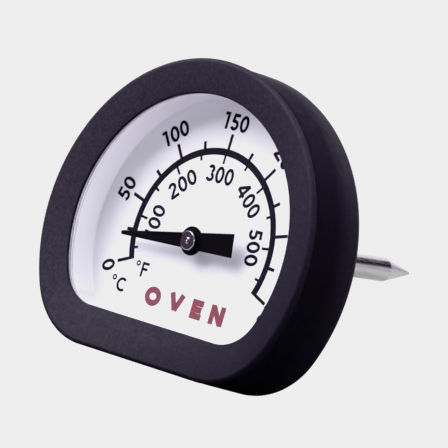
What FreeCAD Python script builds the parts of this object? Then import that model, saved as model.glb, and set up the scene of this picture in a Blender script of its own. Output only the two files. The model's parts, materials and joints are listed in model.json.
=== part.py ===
"""Oven thermometer: a D-shaped dial head in a silicone cover, on a pointed stem.

Millimetres. X runs to the right of someone reading the dial, Y runs away from
them, and Z is up. The origin is on the flat base, straight below the dial's
centre, in the plane of the dial's printed face.

The stem, the spindle and the pointer share one straight axis. It passes through
the dial's centre and rises a little towards the back, so the pieces on it are
placed by their distance along that axis, s, counted from the dial's face.
"""
import FreeCAD, Part
import math
import os
from collections import namedtuple

Vector = FreeCAD.Vector

# ---------------------------------------------------------------- driving sizes

DIAL_CENTRE_HEIGHT = 23.35
STEM_TILT_DEG = 5.65
FIT_GAP = 0.02

# A D outline: a circle with a flat bottom and rounded bottom corners.
# centre_z and bottom_z are counted from the dial's centre. The cover's outlines reach
# BASE_TRIM below the flat base, which is trimmed level.
Outline = namedtuple("Outline", "radius centre_z bottom_z corner_radius")
BASE_TRIM = 0.05
COVER_BOTTOM_Z = -DIAL_CENTRE_HEIGHT - BASE_TRIM
COVER = Outline(32.3, -0.9, COVER_BOTTOM_Z, 14.8)
SHOULDER = Outline(31.85, -0.6, COVER_BOTTOM_Z, 15.1)
LIP_EDGE = Outline(32.0, -0.45, COVER_BOTTOM_Z, 15.2)
LIP_CREST = Outline(31.65, -0.1, COVER_BOTTOM_Z, 15.5)
WINDOW = Outline(25.7, -0.3, -16.1, 8.4)

# The silicone cover, front to back along Y. Its lip slopes back from the crest to
# the window inside and to an outer edge outside, with a fine groove behind that edge.
# From the shoulder the side swells to its widest, then rounds into the back.
LIP_CREST_Y = -8.1
LIP_EDGE_Y = -7.2
SHOULDER_Y = -6.4
COVER_WIDEST_Y = 1.0
COVER_BACK_Y = 6.6
GROOVE_DEPTH = 0.35
WINDOW_EDGE_Y = -6.85
LIP_BACK_Y = -6.3
COVER_BACK_ROUND = 3.5
COVER_BACK_HOLE_RADIUS = 8.8

# The stack behind the cover's lip, front to back.
RING_THICKNESS = 0.35
RING_SKIRT_DEPTH = 2.8
RING_SETBACK = 0.05
GASKET_THICKNESS = 0.25
GASKET_SETBACK = 0.2
LENS_THICKNESS = 0.7
DIAL_SHEET = 0.4
DIAL_WALL_SETBACK = 0.4
DIAL_MOUTH_SETBACK = 0.55
DIAL_INNER_ROUND = 0.3
DIAL_HOLE_RADIUS = 1.35
SPACER_GAP = 0.1

# The drawn case, counted inwards from the cover's outline.
CASE_INSET = 3.4
CASE_SHEET = 0.5
CASE_BACK_ROUND = 1.0
CASE_BACK_Y = 4.8
SEAT_RADIUS = 7.6
SEAT_BACK_S = 5.75
SHANK_HOLE_RADIUS = 4.1

# The stem head, a turned fitting clamped in the case's tilted seat.
SHANK_RADIUS = 4.0
SHANK_FRONT_S = 2.2
SEAL_THICKNESS = 0.5
SEAL_RADIUS = 6.6
HEX_ACROSS_FLATS = 12.0
HEX_THICKNESS = 2.5
SPIGOT_RADIUS = 3.4
SPIGOT_LENGTH = 1.8
SPIGOT_CHAMFER = 0.5
TUBE_SOCKET_S = 6.0
LOCK_WASHER_THICKNESS = 0.6
LOCK_WASHER_RADIUS = 6.3
NUT_THICKNESS = 1.8
THREAD_GAP = 0.04

# The stem.
STEM_RADIUS = 2.25
STEM_WALL = 0.4
STEM_ROOT_RADIUS = 2.05
STEM_SHOULDER_S = 49.8
STEM_END_S = 57.6
STEM_NOSE_RADIUS = 0.35
STEM_TIP_PLUG_LENGTH = 1.4

# The spindle, its bearings and the bimetal coil that turns it.
SPINDLE_RADIUS = 0.6
SPINDLE_FRONT_S = -3.85
SPINDLE_END_S = 25.2
BEARING_CLEARANCE = 0.04
FRONT_BEARING_RADIUS = 1.8
FRONT_BEARING_FLANGE_RADIUS = 2.9
FRONT_BEARING_FLANGE = 0.5
GUIDE_START_S = 19.5
GUIDE_LENGTH = 2.5
COLLAR_START_S = 23.6
COLLAR_LENGTH = 3.4
COLLAR_FLANGE_LENGTH = 1.2
COIL_START_S = 25.0
COIL_TURNS = 15
COIL_PITCH = 1.35
COIL_MEAN_RADIUS = 1.42
COIL_STRIP_THICKNESS = 0.24
COIL_STRIP_WIDTH = 0.9
ANCHOR_NOSE_LENGTH = 1.4
ANCHOR_LENGTH = 3.1

# The pointer and the boss that rivets it to the spindle.
POINTER_BEARING_DEG = 6.4
POINTER_FRONT_S = -2.7
POINTER_SHEET = 0.3
POINTER_TIP_REACH = 17.3
POINTER_TIP_HALF_WIDTH = 0.37
POINTER_TAIL_REACH = 9.9
POINTER_TAIL_HALF_WIDTH = 2.12
POINTER_DISC_RADIUS = 2.58
BOSS_HEAD_RADIUS = 1.69
BOSS_HEAD_HEIGHT = 1.0
BOSS_HEAD_CHAMFER = 0.2
BOSS_NECK_RADIUS = 1.1
BOSS_BACK_RADIUS = 1.7
BOSS_BACK_LENGTH = 0.8

# ----------------------------------------------------------------- worked out

RING_FRONT_Y = LIP_BACK_Y + FIT_GAP
RING_BACK_Y = RING_FRONT_Y + RING_THICKNESS
GASKET_FRONT_Y = RING_BACK_Y + FIT_GAP
GASKET_BACK_Y = GASKET_FRONT_Y + GASKET_THICKNESS
DIAL_RIM_Y = GASKET_BACK_Y + FIT_GAP
LENS_BACK_Y = DIAL_RIM_Y + LENS_THICKNESS
LENS_SEAT_Y = LENS_BACK_Y + FIT_GAP
SPACER_FRONT_Y = DIAL_RIM_Y + DIAL_SHEET + FIT_GAP
CASE_FLOOR_Y = CASE_BACK_Y - CASE_SHEET
RING_SKIRT_Y = RING_BACK_Y + RING_SKIRT_DEPTH

CASE_BORE_INSET = CASE_INSET + CASE_SHEET
STACK_INSET = CASE_BORE_INSET + 2 * FIT_GAP
RING_SKIRT_INSET = CASE_INSET - FIT_GAP - RING_THICKNESS

SEAT_ROOT_S = CASE_FLOOR_Y - CASE_SHEET / 2
SEAT_FRONT_S = SEAT_BACK_S - CASE_SHEET
SEAL_FRONT_S = SEAT_BACK_S + FIT_GAP
HEX_FRONT_S = SEAL_FRONT_S + SEAL_THICKNESS + FIT_GAP
HEX_BACK_S = HEX_FRONT_S + HEX_THICKNESS
SPIGOT_END_S = HEX_BACK_S + SPIGOT_LENGTH
LOCK_WASHER_FRONT_S = SEAT_FRONT_S - FIT_GAP - LOCK_WASHER_THICKNESS
NUT_FRONT_S = LOCK_WASHER_FRONT_S - FIT_GAP - NUT_THICKNESS

STEM_BORE_RADIUS = STEM_RADIUS - STEM_WALL
BEARING_BORE_RADIUS = SPINDLE_RADIUS + BEARING_CLEARANCE
COIL_LENGTH = COIL_TURNS * COIL_PITCH
COIL_END_S = COIL_START_S + COIL_LENGTH
COIL_BORE_RADIUS = COIL_MEAN_RADIUS - COIL_STRIP_THICKNESS / 2
COIL_PLUG_RADIUS = COIL_BORE_RADIUS - FIT_GAP

TILT = math.radians(STEM_TILT_DEG)
AXIS = Vector(0, math.cos(TILT), math.sin(TILT))
ACROSS = Vector(1, 0, 0)
UPWARD = Vector(0, -math.sin(TILT), math.cos(TILT))
DIAL_CENTRE = Vector(0, 0, DIAL_CENTRE_HEIGHT)
SLACK = 1.0


# --------------------------------------------------------- D-shaped geometry

def moved_in(outline, inset):
    """The same outline with its whole edge moved inwards by inset."""
    return Outline(
        outline.radius - inset,
        outline.centre_z,
        outline.bottom_z + inset,
        outline.corner_radius - inset,
    )


def d_wire(outline, y):
    """The closed D outline in the plane at y."""
    circle_centre = Vector(0, y, DIAL_CENTRE_HEIGHT + outline.centre_z)
    bottom_z = DIAL_CENTRE_HEIGHT + outline.bottom_z
    corner_z = bottom_z + outline.corner_radius
    drop = circle_centre.z - corner_z
    corner_x = math.sqrt((outline.radius - outline.corner_radius) ** 2 - drop ** 2)
    joins = {}
    corners = {}
    for side in (-1, 1):
        centre = Vector(side * corner_x, y, corner_z)
        outwards = (centre - circle_centre).normalize()
        join = circle_centre + outwards * outline.radius
        foot = Vector(side * corner_x, y, bottom_z)
        middle = (outwards + Vector(0, 0, -1)).normalize()
        middle_point = centre + middle * outline.corner_radius
        joins[side] = join
        corners[side] = (join, middle_point, foot)
    top = circle_centre + Vector(0, 0, outline.radius)
    edges = [
        Part.Arc(joins[1], top, joins[-1]).toShape(),
        Part.Arc(*corners[-1]).toShape(),
        Part.LineSegment(corners[-1][2], corners[1][2]).toShape(),
        Part.Arc(*reversed(corners[1])).toShape(),
    ]
    return Part.Wire(edges)


def d_prism(outline, front_y, back_y):
    """A solid with the D outline, from front_y to back_y."""
    face = Part.Face(d_wire(outline, front_y))
    return face.extrude(Vector(0, back_y - front_y, 0))


def d_loft(front, front_y, back, back_y):
    """A solid that runs straight from one D outline at front_y to another at back_y."""
    return Part.makeLoft([d_wire(front, front_y), d_wire(back, back_y)], True, True)


def rounded_rim(solid, y, radius):
    """Round the edges of the solid that lie flat in the plane at y."""
    rim = []
    for edge in solid.Edges:
        box = edge.BoundBox
        if abs(box.YMin - y) < 1e-6 and abs(box.YMax - y) < 1e-6:
            rim.append(edge)
    return solid.makeFillet(radius, rim)


def d_ring(outer, inner, front_y, back_y):
    """A flat ring between two D outlines."""
    hole = d_prism(inner, front_y - SLACK, back_y + SLACK)
    return d_prism(outer, front_y, back_y).cut(hole)


# ------------------------------------------------ geometry on the stem's axis

def on_axis(s):
    """The point of the stem's axis at distance s behind the dial's face."""
    return DIAL_CENTRE + AXIS * s


def rod(radius, start_s, end_s):
    """A round bar on the stem's axis."""
    return Part.makeCylinder(radius, end_s - start_s, on_axis(start_s), AXIS)


def tube(outer_radius, inner_radius, start_s, end_s):
    """A round sleeve on the stem's axis."""
    bore = rod(inner_radius, start_s - SLACK, end_s + SLACK)
    return rod(outer_radius, start_s, end_s).cut(bore)


def turned(profile):
    """A solid of revolution about the stem's axis, from (s, radius) points."""
    points = [on_axis(s) + ACROSS * radius for s, radius in profile]
    face = Part.Face(Part.makePolygon(points + [points[0]]))
    return face.revolve(DIAL_CENTRE, AXIS, 360)


def hexagon(across_flats, start_s, end_s):
    """A hexagonal bar on the stem's axis, with a flat on top."""
    corner_radius = across_flats / math.sqrt(3)
    points = []
    for step in range(7):
        angle = math.radians(60 * step)
        offset = ACROSS * math.cos(angle) + UPWARD * math.sin(angle)
        points.append(on_axis(start_s) + offset * corner_radius)
    face = Part.Face(Part.makePolygon(points))
    return face.extrude(AXIS * (end_s - start_s))


# ------------------------------------------------------------------- the head

def silicone_cover():
    """Soft cover: a D cup whose front lip slopes in to the window."""
    back = d_prism(COVER, COVER_WIDEST_Y, COVER_BACK_Y)
    back = rounded_rim(back, COVER_BACK_Y, COVER_BACK_ROUND)
    side = d_loft(SHOULDER, SHOULDER_Y, COVER, COVER_WIDEST_Y)
    neck = d_prism(moved_in(LIP_EDGE, GROOVE_DEPTH), LIP_EDGE_Y, SHOULDER_Y)
    lip = d_loft(LIP_CREST, LIP_CREST_Y, LIP_EDGE, LIP_EDGE_Y)
    body = back.fuse(side).fuse(neck).fuse(lip)
    slope = d_loft(LIP_CREST, LIP_CREST_Y, WINDOW, WINDOW_EDGE_Y)
    window = d_prism(WINDOW, WINDOW_EDGE_Y - SLACK, LIP_BACK_Y + SLACK)
    ring_outline = moved_in(COVER, RING_SKIRT_INSET - FIT_GAP)
    ring_space = d_prism(ring_outline, LIP_BACK_Y, RING_SKIRT_Y + FIT_GAP)
    case_outline = moved_in(COVER, CASE_INSET - FIT_GAP)
    case_space = d_prism(case_outline, LIP_BACK_Y, CASE_BACK_Y + FIT_GAP)
    case_space = rounded_rim(case_space, CASE_BACK_Y + FIT_GAP, CASE_BACK_ROUND)
    back_hole = rod(COVER_BACK_HOLE_RADIUS, 0, COVER_BACK_Y + 2 * SLACK)
    below_base = Part.makeBox(
        2 * COVER.radius,
        COVER_BACK_Y - LIP_CREST_Y,
        SLACK,
        Vector(-COVER.radius, LIP_CREST_Y, -SLACK),
    )
    for hollow in (slope, window, ring_space, case_space, back_hole, below_base):
        body = body.cut(hollow)
    return body


def case_shell():
    """Drawn steel cup with a tilted seat pressed out of its floor for the stem head."""
    outer = d_prism(moved_in(COVER, CASE_INSET), GASKET_FRONT_Y, CASE_BACK_Y)
    outer = rounded_rim(outer, CASE_BACK_Y, CASE_BACK_ROUND)
    inner = d_prism(moved_in(COVER, CASE_BORE_INSET), GASKET_FRONT_Y - SLACK, CASE_FLOOR_Y)
    inner = rounded_rim(inner, CASE_FLOOR_Y, CASE_BACK_ROUND - CASE_SHEET)
    seat = rod(SEAT_RADIUS, SEAT_ROOT_S, SEAT_BACK_S)
    seat_hollow = rod(SEAT_RADIUS - CASE_SHEET, SHANK_FRONT_S, SEAT_FRONT_S)
    shank_hole = rod(SHANK_HOLE_RADIUS, SHANK_FRONT_S, SEAT_BACK_S + SLACK)
    return outer.fuse(seat).cut(inner).cut(seat_hollow).cut(shank_hole)


def retaining_ring():
    """Steel bezel: a flange over the gasket and a skirt crimped round the case."""
    skirt_outline = moved_in(COVER, RING_SKIRT_INSET)
    cup = d_prism(skirt_outline, RING_FRONT_Y, RING_SKIRT_Y)
    case_space = d_prism(moved_in(COVER, CASE_INSET - FIT_GAP), RING_BACK_Y, RING_SKIRT_Y + SLACK)
    sight = d_prism(moved_in(WINDOW, -RING_SETBACK), RING_FRONT_Y - SLACK, RING_BACK_Y + SLACK)
    return cup.cut(case_space).cut(sight)


def lens_gasket():
    """Thin seal under the bezel's flange, over the dial pan's rim and the glass's edge."""
    inner = moved_in(WINDOW, -GASKET_SETBACK)
    return d_ring(moved_in(COVER, STACK_INSET), inner, GASKET_FRONT_Y, GASKET_BACK_Y)


def lens():
    """Flat glass, seated in the dial pan's mouth."""
    return d_prism(moved_in(WINDOW, FIT_GAP - DIAL_MOUTH_SETBACK), DIAL_RIM_Y, LENS_BACK_Y)


def dial_pan():
    """White dial pressed as a shallow pan: rim, lens seat, upright wall, flat face."""
    wall = d_prism(moved_in(WINDOW, -DIAL_WALL_SETBACK - DIAL_SHEET), DIAL_RIM_Y, DIAL_SHEET)
    wall = rounded_rim(wall, DIAL_SHEET, DIAL_INNER_ROUND + DIAL_SHEET)
    rim = d_prism(moved_in(COVER, STACK_INSET), DIAL_RIM_Y, DIAL_RIM_Y + DIAL_SHEET)
    mouth = d_prism(moved_in(WINDOW, -DIAL_MOUTH_SETBACK), DIAL_RIM_Y - SLACK, LENS_SEAT_Y)
    hollow = d_prism(moved_in(WINDOW, -DIAL_WALL_SETBACK), DIAL_RIM_Y - SLACK, 0)
    hollow = rounded_rim(hollow, 0, DIAL_INNER_ROUND)
    spindle_hole = rod(DIAL_HOLE_RADIUS, -SLACK, DIAL_SHEET + SLACK)
    return wall.fuse(rim).cut(mouth).cut(hollow).cut(spindle_hole)


def spacer_ring():
    """Ring that holds the dial pan's rim off the case's floor."""
    outer = moved_in(COVER, STACK_INSET + CASE_BACK_ROUND - CASE_SHEET)
    inner = moved_in(WINDOW, -DIAL_WALL_SETBACK - DIAL_SHEET - SPACER_GAP)
    return d_ring(outer, inner, SPACER_FRONT_Y, CASE_FLOOR_Y - FIT_GAP)


# --------------------------------------------------------- the stem's fitting

def stem_head():
    """Turned fitting: threaded shank through the seat, hexagon and spigot behind it."""
    shank = rod(SHANK_RADIUS, SHANK_FRONT_S, HEX_FRONT_S + SLACK)
    hexagon_bar = hexagon(HEX_ACROSS_FLATS, HEX_FRONT_S, HEX_BACK_S)
    crown = turned([
        (HEX_FRONT_S - SLACK, 0),
        (HEX_FRONT_S - SLACK, HEX_ACROSS_FLATS / 2 + SLACK),
        (HEX_BACK_S - SLACK, HEX_ACROSS_FLATS / 2 + SLACK),
        (HEX_BACK_S, HEX_ACROSS_FLATS / 2 - FIT_GAP),
        (HEX_BACK_S, 0),
    ])
    spigot = turned([
        (HEX_BACK_S - SLACK, 0),
        (HEX_BACK_S - SLACK, SPIGOT_RADIUS),
        (SPIGOT_END_S - SPIGOT_CHAMFER, SPIGOT_RADIUS),
        (SPIGOT_END_S, SPIGOT_RADIUS - SPIGOT_CHAMFER),
        (SPIGOT_END_S, 0),
    ])
    bearing_bore = rod(FRONT_BEARING_RADIUS, SHANK_FRONT_S - SLACK, TUBE_SOCKET_S + SLACK)
    tube_socket = rod(STEM_ROOT_RADIUS, TUBE_SOCKET_S, SPIGOT_END_S + SLACK)
    body = shank.fuse(hexagon_bar.common(crown)).fuse(spigot)
    return body.cut(bearing_bore).cut(tube_socket).removeSplitter()


def sealing_washer():
    """Soft washer between the hexagon and the case's seat."""
    return tube(SEAL_RADIUS, SHANK_HOLE_RADIUS, SEAL_FRONT_S, SEAL_FRONT_S + SEAL_THICKNESS)


def lock_washer():
    """Split spring washer under the nut, inside the case."""
    ring = tube(
        LOCK_WASHER_RADIUS,
        SHANK_HOLE_RADIUS,
        LOCK_WASHER_FRONT_S,
        LOCK_WASHER_FRONT_S + LOCK_WASHER_THICKNESS,
    )
    split_width = LOCK_WASHER_THICKNESS
    corner = on_axis(LOCK_WASHER_FRONT_S - SLACK) - ACROSS * (split_width / 2)
    far_corner = corner + ACROSS * split_width
    reach = UPWARD * (LOCK_WASHER_RADIUS + SLACK)
    outline = [corner, far_corner, far_corner + reach, corner + reach, corner]
    split = Part.Face(Part.makePolygon(outline)).extrude(AXIS * (LOCK_WASHER_THICKNESS + 2 * SLACK))
    return ring.cut(split)


def clamp_nut():
    """Thin nut that clamps the stem head in the case."""
    bar = hexagon(HEX_ACROSS_FLATS, NUT_FRONT_S, NUT_FRONT_S + NUT_THICKNESS)
    thread = rod(SHANK_RADIUS + THREAD_GAP, NUT_FRONT_S - SLACK, NUT_FRONT_S + NUT_THICKNESS + SLACK)
    return bar.cut(thread)


def front_bearing():
    """Flanged brass bush in the front end of the stem head."""
    return turned([
        (SHANK_FRONT_S - FRONT_BEARING_FLANGE, BEARING_BORE_RADIUS),
        (SHANK_FRONT_S - FRONT_BEARING_FLANGE, FRONT_BEARING_FLANGE_RADIUS),
        (SHANK_FRONT_S, FRONT_BEARING_FLANGE_RADIUS),
        (SHANK_FRONT_S, FRONT_BEARING_RADIUS),
        (TUBE_SOCKET_S - FIT_GAP, FRONT_BEARING_RADIUS),
        (TUBE_SOCKET_S - FIT_GAP, BEARING_BORE_RADIUS),
    ])


# ------------------------------------------------------------------- the stem

def stem_tube():
    """Thin steel tube whose turned-down root is brazed into the stem head."""
    root = rod(STEM_ROOT_RADIUS, TUBE_SOCKET_S, SPIGOT_END_S + SLACK)
    free_length = rod(STEM_RADIUS, SPIGOT_END_S, STEM_SHOULDER_S)
    bore = rod(STEM_BORE_RADIUS, TUBE_SOCKET_S - SLACK, STEM_SHOULDER_S + SLACK)
    return root.fuse(free_length).cut(bore).removeSplitter()


def stem_tip():
    """Solid point that plugs the tube's far end."""
    return turned([
        (STEM_SHOULDER_S - STEM_TIP_PLUG_LENGTH, 0),
        (STEM_SHOULDER_S - STEM_TIP_PLUG_LENGTH, STEM_BORE_RADIUS),
        (STEM_SHOULDER_S, STEM_BORE_RADIUS),
        (STEM_SHOULDER_S, STEM_RADIUS),
        (STEM_END_S - STEM_NOSE_RADIUS, STEM_NOSE_RADIUS),
        (STEM_END_S, STEM_NOSE_RADIUS / 2),
        (STEM_END_S, 0),
    ])


def guide_bush():
    """Brass bush that steadies the spindle inside the tube."""
    return tube(
        STEM_BORE_RADIUS - FIT_GAP,
        BEARING_BORE_RADIUS,
        GUIDE_START_S,
        GUIDE_START_S + GUIDE_LENGTH,
    )


def bimetal_coil():
    """Bimetal strip wound edge to edge into a helix about the stem's axis."""
    helix = Part.makeHelix(COIL_PITCH, COIL_LENGTH, COIL_MEAN_RADIUS)
    half_thickness = COIL_STRIP_THICKNESS / 2
    half_width = COIL_STRIP_WIDTH / 2
    corners = [
        (-half_thickness, -half_width),
        (half_thickness, -half_width),
        (half_thickness, half_width),
        (-half_thickness, half_width),
    ]
    points = [Vector(COIL_MEAN_RADIUS + across, 0, along) for across, along in corners]
    section = Part.makePolygon(points + [points[0]])
    coil = Part.Wire(helix.Edges).makePipeShell([section], True, True)
    turn = FreeCAD.Rotation(Vector(0, 0, 1), AXIS)
    coil.Placement = FreeCAD.Placement(on_axis(COIL_START_S + half_width), turn)
    return coil


def coil_anchor():
    """Brass plug in the tube's far end that holds the coil's outer end still."""
    nose_start_s = COIL_END_S - ANCHOR_NOSE_LENGTH
    shoulder_s = COIL_END_S + COIL_STRIP_WIDTH + FIT_GAP
    return turned([
        (nose_start_s, 0),
        (nose_start_s, COIL_PLUG_RADIUS),
        (shoulder_s, COIL_PLUG_RADIUS),
        (shoulder_s, STEM_BORE_RADIUS - FIT_GAP),
        (COIL_END_S + ANCHOR_LENGTH, STEM_BORE_RADIUS - FIT_GAP),
        (COIL_END_S + ANCHOR_LENGTH, 0),
    ])


# ------------------------------------------------------- what turns: pointer

def spindle():
    """Long thin shaft from the pointer to the coil."""
    return rod(SPINDLE_RADIUS, SPINDLE_FRONT_S, SPINDLE_END_S)


def coil_collar():
    """Brass collar on the spindle's end that the coil's inner end is fixed to."""
    flange_end_s = COLLAR_START_S + COLLAR_FLANGE_LENGTH
    flange_radius = COIL_MEAN_RADIUS + COIL_STRIP_THICKNESS / 2
    body = turned([
        (COLLAR_START_S, 0),
        (COLLAR_START_S, flange_radius),
        (flange_end_s, flange_radius),
        (flange_end_s, COIL_PLUG_RADIUS),
        (COLLAR_START_S + COLLAR_LENGTH, COIL_PLUG_RADIUS),
        (COLLAR_START_S + COLLAR_LENGTH, 0),
    ])
    return body.cut(rod(SPINDLE_RADIUS, COLLAR_START_S - SLACK, SPINDLE_END_S))


def pointer():
    """Flat wedge, narrow at the tip and wide at the tail, with a disc at the hub."""
    bearing = math.radians(POINTER_BEARING_DEG)
    forwards = ACROSS * -math.cos(bearing) + UPWARD * -math.sin(bearing)
    sideways = AXIS.cross(forwards)
    hub = on_axis(POINTER_FRONT_S)

    def corner(reach, offset):
        return hub + forwards * reach + sideways * offset

    round_end = Part.Arc(
        corner(POINTER_TIP_REACH - POINTER_TIP_HALF_WIDTH, POINTER_TIP_HALF_WIDTH),
        corner(POINTER_TIP_REACH, 0),
        corner(POINTER_TIP_REACH - POINTER_TIP_HALF_WIDTH, -POINTER_TIP_HALF_WIDTH),
    ).toShape()
    tail = Part.makePolygon([
        corner(POINTER_TIP_REACH - POINTER_TIP_HALF_WIDTH, -POINTER_TIP_HALF_WIDTH),
        corner(-POINTER_TAIL_REACH, -POINTER_TAIL_HALF_WIDTH),
        corner(-POINTER_TAIL_REACH, POINTER_TAIL_HALF_WIDTH),
        corner(POINTER_TIP_REACH - POINTER_TIP_HALF_WIDTH, POINTER_TIP_HALF_WIDTH),
    ])
    blade = Part.Face(Part.Wire([round_end] + tail.Edges)).extrude(AXIS * POINTER_SHEET)
    disc = rod(POINTER_DISC_RADIUS, POINTER_FRONT_S, POINTER_FRONT_S + POINTER_SHEET)
    hole = rod(BOSS_NECK_RADIUS, POINTER_FRONT_S - SLACK, POINTER_FRONT_S + POINTER_SHEET + SLACK)
    return blade.fuse(disc).cut(hole).removeSplitter()


def pointer_boss():
    """Turned boss pressed on the spindle, riveted over the pointer."""
    head_front_s = POINTER_FRONT_S - BOSS_HEAD_HEIGHT
    blade_back_s = POINTER_FRONT_S + POINTER_SHEET
    return turned([
        (head_front_s, SPINDLE_RADIUS),
        (head_front_s, BOSS_HEAD_RADIUS - BOSS_HEAD_CHAMFER),
        (head_front_s + BOSS_HEAD_CHAMFER, BOSS_HEAD_RADIUS),
        (POINTER_FRONT_S, BOSS_HEAD_RADIUS),
        (POINTER_FRONT_S, BOSS_NECK_RADIUS),
        (blade_back_s, BOSS_NECK_RADIUS),
        (blade_back_s, BOSS_BACK_RADIUS),
        (blade_back_s + BOSS_BACK_LENGTH, BOSS_BACK_RADIUS),
        (blade_back_s + BOSS_BACK_LENGTH, SPINDLE_RADIUS),
    ])


# ------------------------------------------------------------------ writing

PIECES = [
    silicone_cover,
    case_shell,
    retaining_ring,
    lens_gasket,
    lens,
    dial_pan,
    spacer_ring,
    stem_head,
    sealing_washer,
    lock_washer,
    clamp_nut,
    front_bearing,
    stem_tube,
    stem_tip,
    guide_bush,
    bimetal_coil,
    coil_anchor,
    spindle,
    coil_collar,
    pointer,
    pointer_boss,
]


def write_pieces():
    """Write each piece as one closed solid in its own STEP file."""
    os.makedirs("parts", exist_ok=True)
    for piece in PIECES:
        shape = piece()
        assert shape.isValid(), piece.__name__ + " is not a valid shape"
        assert len(shape.Solids) == 1, piece.__name__ + " is not one solid"
        solid = shape.Solids[0]
        solid.exportStep("parts/" + piece.__name__ + ".step")
        print(piece.__name__, round(solid.Volume, 2))


write_pieces()
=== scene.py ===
"""Looks of the oven thermometer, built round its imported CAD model.

Blender works in metres here, in the same frame as the CAD model: X to the right of
someone reading the dial, Y away from them, Z up, with the origin on the flat base
under the dial's centre. Sizes of the object are in millimetres and are scaled by MM;
those of the studio are in metres.
"""
import json
import math
from collections import namedtuple

import bpy
import numpy as np
from mathutils import Matrix, Vector

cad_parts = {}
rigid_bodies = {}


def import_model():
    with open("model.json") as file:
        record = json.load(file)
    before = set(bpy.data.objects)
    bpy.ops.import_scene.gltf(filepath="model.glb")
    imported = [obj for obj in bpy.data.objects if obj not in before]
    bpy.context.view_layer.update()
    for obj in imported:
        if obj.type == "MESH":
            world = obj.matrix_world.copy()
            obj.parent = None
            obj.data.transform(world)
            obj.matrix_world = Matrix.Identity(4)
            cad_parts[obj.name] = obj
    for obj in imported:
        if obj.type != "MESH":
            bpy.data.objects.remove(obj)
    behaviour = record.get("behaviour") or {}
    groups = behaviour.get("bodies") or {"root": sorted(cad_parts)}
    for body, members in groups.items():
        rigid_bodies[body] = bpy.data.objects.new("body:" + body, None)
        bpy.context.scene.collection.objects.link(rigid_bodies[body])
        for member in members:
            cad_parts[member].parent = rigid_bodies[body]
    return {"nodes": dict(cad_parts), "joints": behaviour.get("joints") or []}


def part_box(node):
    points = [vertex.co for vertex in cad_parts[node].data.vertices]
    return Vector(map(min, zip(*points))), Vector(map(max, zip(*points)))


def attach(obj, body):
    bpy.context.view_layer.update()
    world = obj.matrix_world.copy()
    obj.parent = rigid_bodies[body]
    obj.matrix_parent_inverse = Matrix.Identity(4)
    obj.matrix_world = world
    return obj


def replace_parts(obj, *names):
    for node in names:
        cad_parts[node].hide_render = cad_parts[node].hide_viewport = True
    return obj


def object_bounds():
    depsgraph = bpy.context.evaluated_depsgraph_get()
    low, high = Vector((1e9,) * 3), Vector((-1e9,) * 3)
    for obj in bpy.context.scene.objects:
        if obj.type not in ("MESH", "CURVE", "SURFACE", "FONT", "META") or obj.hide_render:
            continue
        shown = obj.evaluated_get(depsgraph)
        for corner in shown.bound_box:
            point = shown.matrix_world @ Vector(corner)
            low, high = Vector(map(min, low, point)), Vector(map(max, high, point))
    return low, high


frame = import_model()
CAD_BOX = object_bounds()

MM = 0.001
JOINT = frame["joints"][0]
DIAL_CENTRE = Vector(JOINT["pos_m"])
AXIS = Vector(JOINT["axis"]).normalized()
ACROSS = Vector((1, 0, 0))
UPWARD = ACROSS.cross(AXIS)
HEAD = JOINT["parent"]
POINTER_BODY = JOINT["child"]
REST_TURN_DEG = -JOINT["range_deg"][0]
FULL_TURN_DEG = JOINT["range_deg"][1] - JOINT["range_deg"][0]


# ------------------------------------------------------------- mesh helpers

def mesh_object(name, vertices, faces, smooth_angle_deg=40.0):
    """A mesh object from vertices in metres, smooth where faces meet below the angle."""
    mesh = bpy.data.meshes.new(name)
    mesh.from_pydata([tuple(v) for v in vertices], [], faces)
    mesh.validate()
    mesh.update()
    mesh.shade_smooth()
    mesh.set_sharp_from_angle(angle=math.radians(smooth_angle_deg))
    piece = bpy.data.objects.new(name, mesh)
    bpy.context.scene.collection.objects.link(piece)
    return piece


def bridged(name, loops, smooth_angle_deg=40.0, flip=False):
    """A closed ring-shaped mesh through equal-sized closed loops, the last joined to the first."""
    count = len(loops[0])
    vertices = [point for loop in loops for point in loop]
    faces = []
    for row in range(len(loops)):
        following = (row + 1) % len(loops)
        for column in range(count):
            beside = (column + 1) % count
            face = (
                row * count + column,
                row * count + beside,
                following * count + beside,
                following * count + column,
            )
            faces.append(face[::-1] if flip else face)
    return mesh_object(name, vertices, faces, smooth_angle_deg)


def turned(name, profile, segments=96, smooth_angle_deg=30.0):
    """A solid of revolution about the stem's axis from (s, radius) in millimetres, ends closed."""
    vertices = []
    faces = []
    rings = []
    for s, radius in profile:
        centre = DIAL_CENTRE + AXIS * s * MM
        if radius == 0:
            rings.append([len(vertices)])
            vertices.append(centre)
            continue
        ring = []
        for step in range(segments):
            angle = 2 * math.pi * step / segments
            ring.append(len(vertices))
            offset = ACROSS * math.cos(angle) + UPWARD * math.sin(angle)
            vertices.append(centre + offset * radius * MM)
        rings.append(ring)
    for one, two in zip(rings, rings[1:]):
        for step in range(segments):
            beside = (step + 1) % segments
            if len(one) == 1:
                faces.append((one[0], two[beside], two[step]))
            elif len(two) == 1:
                faces.append((one[step], one[beside], two[0]))
            else:
                faces.append((one[step], one[beside], two[beside], two[step]))
    return mesh_object(name, vertices, faces, smooth_angle_deg)


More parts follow.
